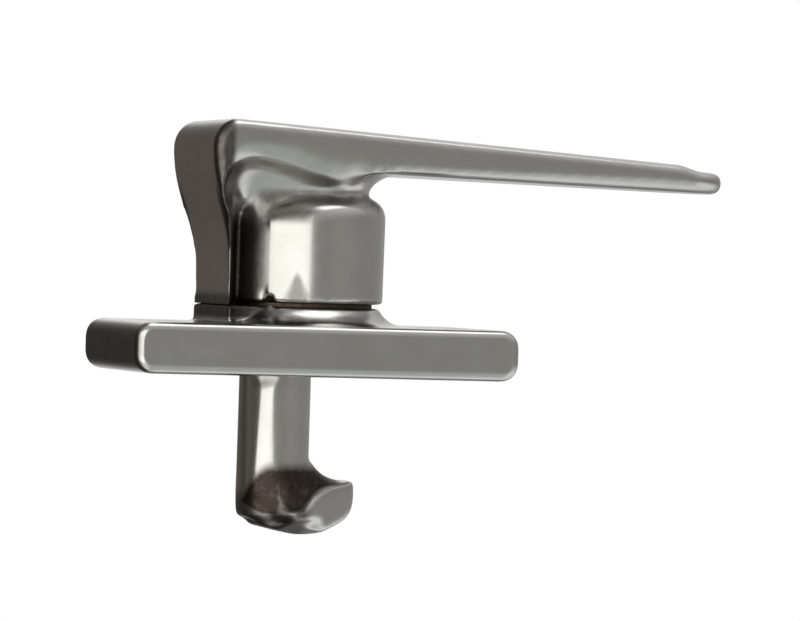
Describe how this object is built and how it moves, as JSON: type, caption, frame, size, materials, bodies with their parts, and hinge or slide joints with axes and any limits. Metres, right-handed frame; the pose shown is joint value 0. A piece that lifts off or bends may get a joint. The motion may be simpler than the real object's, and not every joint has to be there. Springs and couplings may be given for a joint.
{
  "type": "casement window cam handle",
  "caption": "Cast lever handle with a scooped neck on a thick base plate; turning it swings a hook below the plate that pulls the sash shut.",
  "frame": {"origin": "on the turning axis, in the plane of the base plate's mounting face", "axes": "+Z out of the mounting face along the spindle, +X along the plate's long side, the way the lever and the hook's nose point at rest"},
  "size_m": [0.0881, 0.028, 0.0566],
  "materials": {
    "satin_casting": "satin cast metal with a slight brown cast",
    "bronze_washer": "dark bronze, oiled",
    "steel_pin": "ground"
  },
  "bodies": {
    "base": {"base_plate": "satin_casting", "thrust_washer": "bronze_washer"},
    "handle": {"handle": "satin_casting", "cam_hook": "satin_casting", "cross_pin": "steel_pin"}
  },
  "joints": [
    {"name": "handle_turn", "type": "hinge", "parent": "base", "child": "handle", "pos_m": [0, 0, 0], "axis": [0, 0, 1], "range_deg": [-90, 90]}
  ]
}
